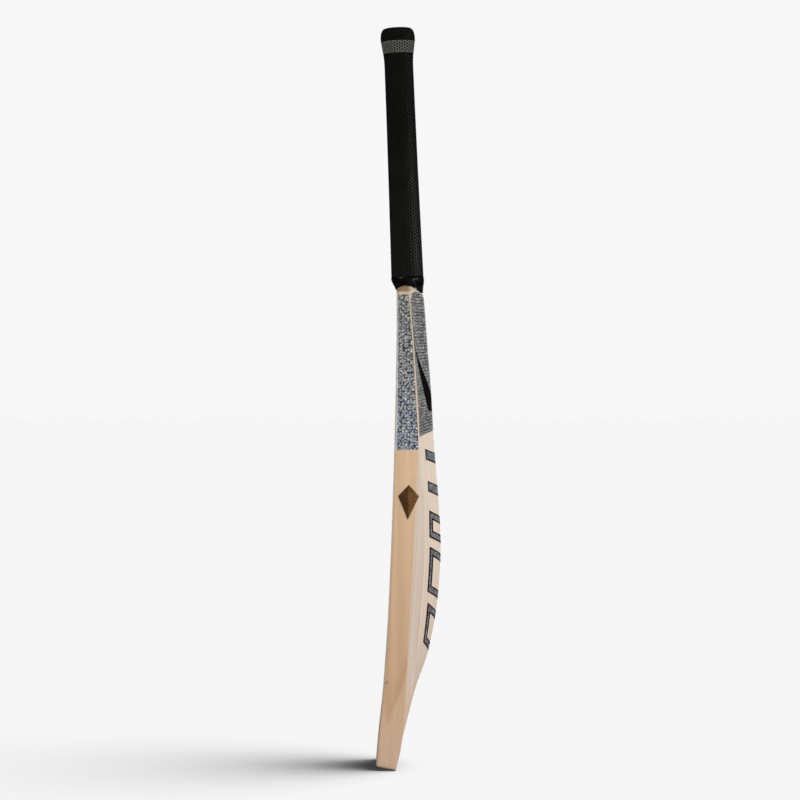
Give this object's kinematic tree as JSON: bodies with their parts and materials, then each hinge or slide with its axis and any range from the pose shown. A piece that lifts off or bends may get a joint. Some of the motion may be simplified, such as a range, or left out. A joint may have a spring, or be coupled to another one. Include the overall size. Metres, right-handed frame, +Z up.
{
  "type": "cricket bat",
  "caption": "Full-size cricket bat: bowed willow blade with a raised spine, spliced cane handle, dimpled rubber grip and thin decals.",
  "frame": {"origin": "middle of the bounding box's bottom, at the lowest edge of the toe", "axes": "+Z up the bat from toe to handle, +X towards the spine of the back with the hitting face towards -X, Y across the blade"},
  "size_m": [0.0762, 0.1094, 0.8619],
  "materials": {
    "willow": "pale straight-grained willow, sanded and waxed",
    "cane": "planed manau cane, unvarnished",
    "spring_rubber": "plain black sheet rubber",
    "twine": "waxed linen twine laid side by side",
    "grip_rubber": "moulded black rubber with small raised hexagons",
    "band_rubber": "grey rubber with a fine raised honeycomb",
    "hem_tape": "glossy black stretched tape with soft creases",
    "woven_vinyl": "grey vinyl printed with a fine weave",
    "black_vinyl": "black vinyl",
    "mottled_vinyl": "mottled grey vinyl with a dark outline",
    "silver_vinyl": "glossy silver-grey vinyl with fine speckles",
    "brown_vinyl": "dark brown foil"
  },
  "bodies": {
    "root": {"blade": "willow", "cane_strip_front_left": "cane", "cane_strip_front_centre": "cane", "cane_strip_front_right": "cane", "cane_strip_inner_front_left": "cane", "cane_strip_inner_front_centre": "cane", "cane_strip_inner_front_right": "cane", "cane_strip_inner_back_left": "cane", "cane_strip_inner_back_centre": "cane", "cane_strip_inner_back_right": "cane", "cane_strip_back_left": "cane", "cane_strip_back_centre": "cane", "cane_strip_back_right": "cane", "rubber_spring_1": "spring_rubber", "rubber_spring_2": "spring_rubber", "rubber_spring_3": "spring_rubber", "twine_binding": "twine", "grip": "grip_rubber", "grip_band": "band_rubber", "grip_hem": "hem_tape", "back_panel": "woven_vinyl", "back_stripe_left": "black_vinyl", "back_stripe_right": "black_vinyl", "back_chevron_upper": "mottled_vinyl", "back_chevron_lower": "mottled_vinyl", "back_hollow_chevron_upper": "mottled_vinyl", "back_hollow_chevron_middle": "mottled_vinyl", "back_hollow_chevron_lower": "mottled_vinyl", "edge_sticker_left": "silver_vinyl", "edge_sticker_right": "silver_vinyl", "edge_mark_left": "brown_vinyl", "edge_mark_right": "brown_vinyl"}
  },
  "joints": []
}
